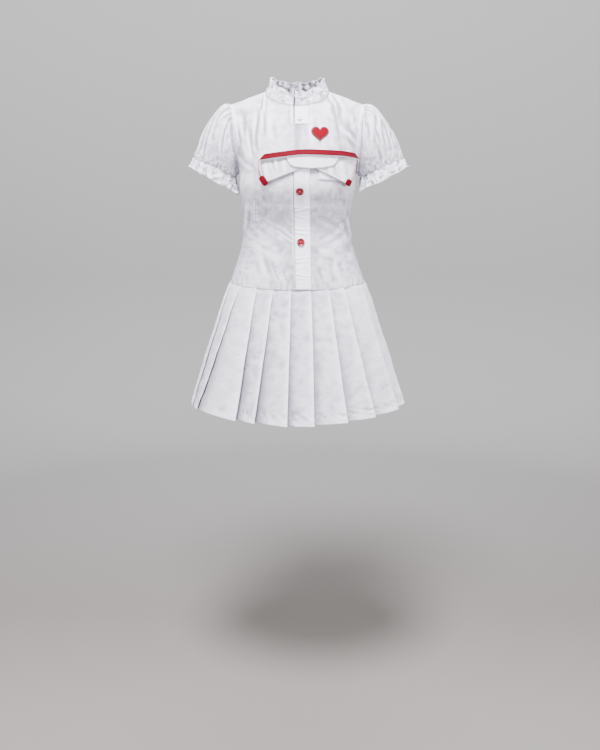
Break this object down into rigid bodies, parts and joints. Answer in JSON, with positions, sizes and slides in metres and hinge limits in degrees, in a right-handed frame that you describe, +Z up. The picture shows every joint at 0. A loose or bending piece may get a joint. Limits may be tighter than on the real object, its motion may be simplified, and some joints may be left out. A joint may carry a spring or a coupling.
{
  "type": "nurse uniform dress",
  "caption": "Short-sleeved dress with a ruffled stand collar, chest flap, buttoned front band and knife-pleated skirt, open and hollow as worn.",
  "frame": {"origin": "midway between the two points where the shoulder seams meet the neckline, where the wearer's shoulders hold the dress", "axes": "+Z up along the wearer, -Y out of the dress's front, +X to the wearer's left"},
  "size_m": [0.5401, 0.3777, 0.7903],
  "materials": {
    "white_cotton": "matt plain-weave cotton blend, cool white",
    "red_ribbon": "woven red ribbon with a soft sheen",
    "red_patch": "red appliqued cloth",
    "red_button": "moulded, satin gloss",
    "white_button": "moulded, satin gloss"
  },
  "bodies": {
    "root": {"bodice_front": "white_cotton", "bodice_back": "white_cotton", "collar": "white_cotton", "neck_placket_tab": "white_cotton", "neck_button": "white_button", "placket_band": "white_cotton", "button_upper": "red_button", "button_lower": "red_button", "sleeve_left": "white_cotton", "sleeve_right": "white_cotton", "sleeve_frill_left": "white_cotton", "sleeve_frill_right": "white_cotton", "skirt_front": "white_cotton", "skirt_back": "white_cotton", "flap_band": "white_cotton", "flap_ribbon": "red_ribbon", "flap_wing_left": "white_cotton", "flap_wing_right": "white_cotton", "flap_tab": "white_cotton", "flap_tip_left": "red_ribbon", "flap_tip_right": "red_ribbon", "pocket_welt": "white_cotton", "heart_patch": "red_patch"}
  },
  "joints": []
}
